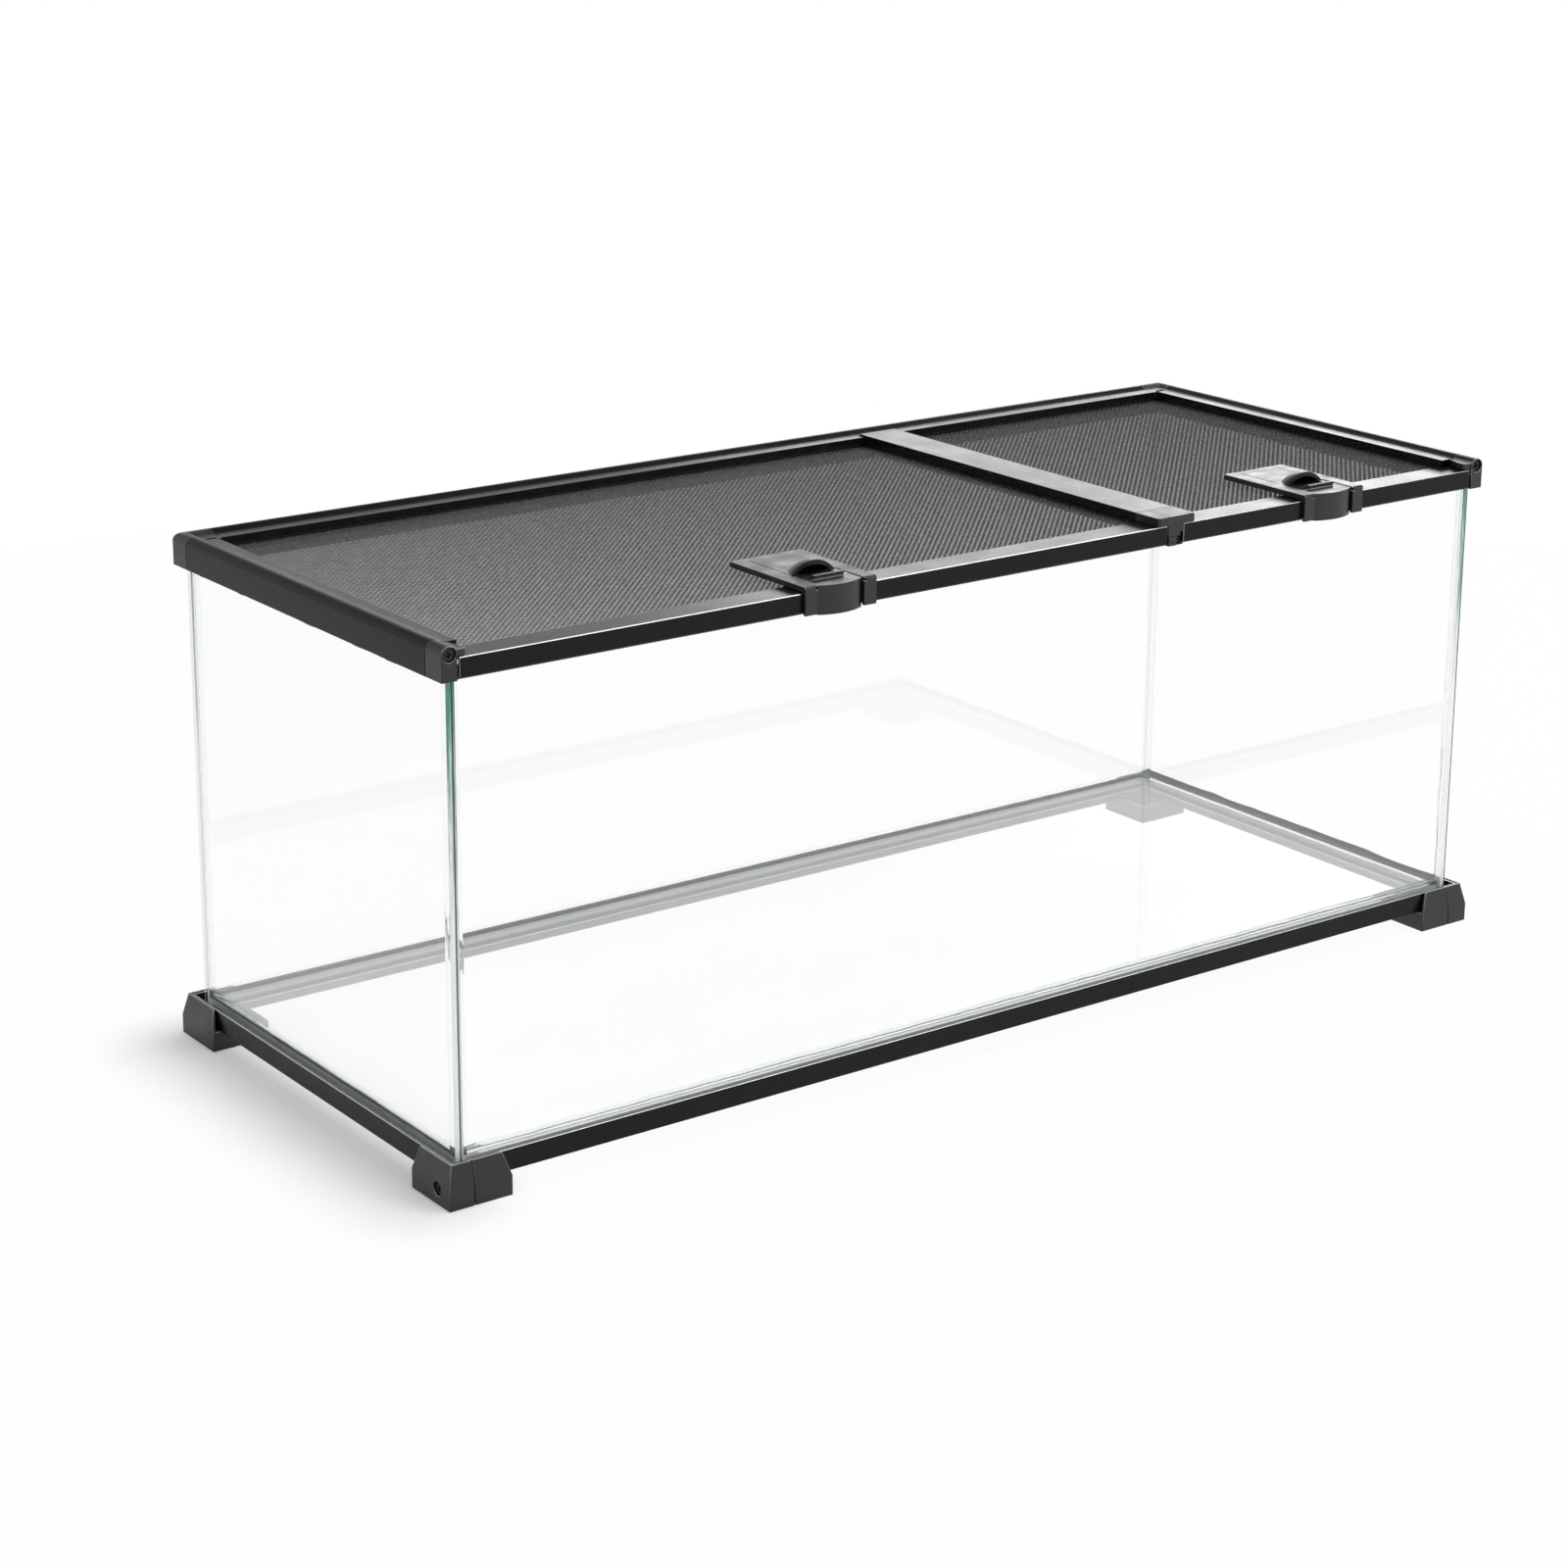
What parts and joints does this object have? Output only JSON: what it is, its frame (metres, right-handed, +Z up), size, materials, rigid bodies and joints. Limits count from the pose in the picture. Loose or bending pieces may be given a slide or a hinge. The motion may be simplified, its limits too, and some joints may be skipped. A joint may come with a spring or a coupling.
{
  "type": "reptile terrarium",
  "caption": "Low glass reptile terrarium with a black frame, corner feet, a screen top split by a crossbar into sliding lids, and a finger latch on each lid.",
  "frame": {"origin": "on the ground under the middle of the footprint", "axes": "+X along the length, towards the short lid; +Y from the latch side to the rear; +Z up"},
  "size_m": [0.762, 0.3048, 0.3085],
  "materials": {
    "float_glass": "clear float glass with ground green edges",
    "clear_silicone": "clear cured silicone, slightly wavy",
    "black_aluminium": "satin black anodised extrusion",
    "black_plastic": "moulded, fine satin texture",
    "screen_wire": "black coated woven wire",
    "black_screws": "black zinc plated",
    "bright_screws": "bright zinc plated",
    "acetal": "moulded natural acetal"
  },
  "bodies": {
    "tank": {"bottom_glass": "float_glass", "front_glass": "float_glass", "rear_glass": "float_glass", "left_glass": "float_glass", "right_glass": "float_glass", "silicone_seams": "clear_silicone", "base_front_rail": "black_aluminium", "base_rear_rail": "black_aluminium", "base_left_rail": "black_aluminium", "base_right_rail": "black_aluminium", "foot_block_front_left": "black_plastic", "foot_block_front_right": "black_plastic", "foot_block_rear_left": "black_plastic", "foot_block_rear_right": "black_plastic", "foot_cap_front_left": "black_plastic", "foot_cap_front_right": "black_plastic", "foot_cap_rear_left": "black_plastic", "foot_cap_rear_right": "black_plastic", "foot_screws": "black_screws", "top_rear_rail": "black_aluminium", "top_left_rail": "black_aluminium", "top_right_rail": "black_aluminium", "top_front_sill": "black_aluminium", "corner_front_left": "black_plastic", "corner_front_right": "black_plastic", "corner_rear_left": "black_plastic", "corner_rear_right": "black_plastic", "corner_screws": "black_screws", "crossbar": "black_aluminium", "crossbar_front_cap": "black_plastic"},
    "left_lid": {"left_lid_front_profile": "black_aluminium", "left_lid_outer_bar": "black_aluminium", "left_lid_inner_bar": "black_aluminium", "left_lid_rear_bar": "black_aluminium", "left_lid_screen": "screen_wire", "left_latch_housing": "black_plastic", "left_latch_cover": "black_plastic", "left_catch_spring": "acetal", "left_latch_screws": "bright_screws"},
    "right_lid": {"right_lid_front_profile": "black_aluminium", "right_lid_outer_bar": "black_aluminium", "right_lid_inner_bar": "black_aluminium", "right_lid_rear_bar": "black_aluminium", "right_lid_screen": "screen_wire", "right_latch_housing": "black_plastic", "right_latch_cover": "black_plastic", "right_catch_spring": "acetal", "right_latch_screws": "bright_screws"},
    "left_latch": {"left_latch_tongue": "black_plastic"},
    "right_latch": {"right_latch_tongue": "black_plastic"}
  },
  "joints": [
    {"name": "left_lid_slide", "type": "slide", "parent": "tank", "child": "left_lid", "axis": [0, -1, 0], "range_m": [0, 0.25]},
    {"name": "right_lid_slide", "type": "slide", "parent": "tank", "child": "right_lid", "axis": [0, -1, 0], "range_m": [0, 0.25]},
    {"name": "left_latch_slide", "type": "slide", "parent": "left_lid", "child": "left_latch", "axis": [0, -1, 0], "range_m": [0, 0.005], "stiffness_N_per_m": 350, "deforming": ["left_catch_spring"]},
    {"name": "right_latch_slide", "type": "slide", "parent": "right_lid", "child": "right_latch", "axis": [0, -1, 0], "range_m": [0, 0.005], "stiffness_N_per_m": 350, "deforming": ["right_catch_spring"]}
  ]
}
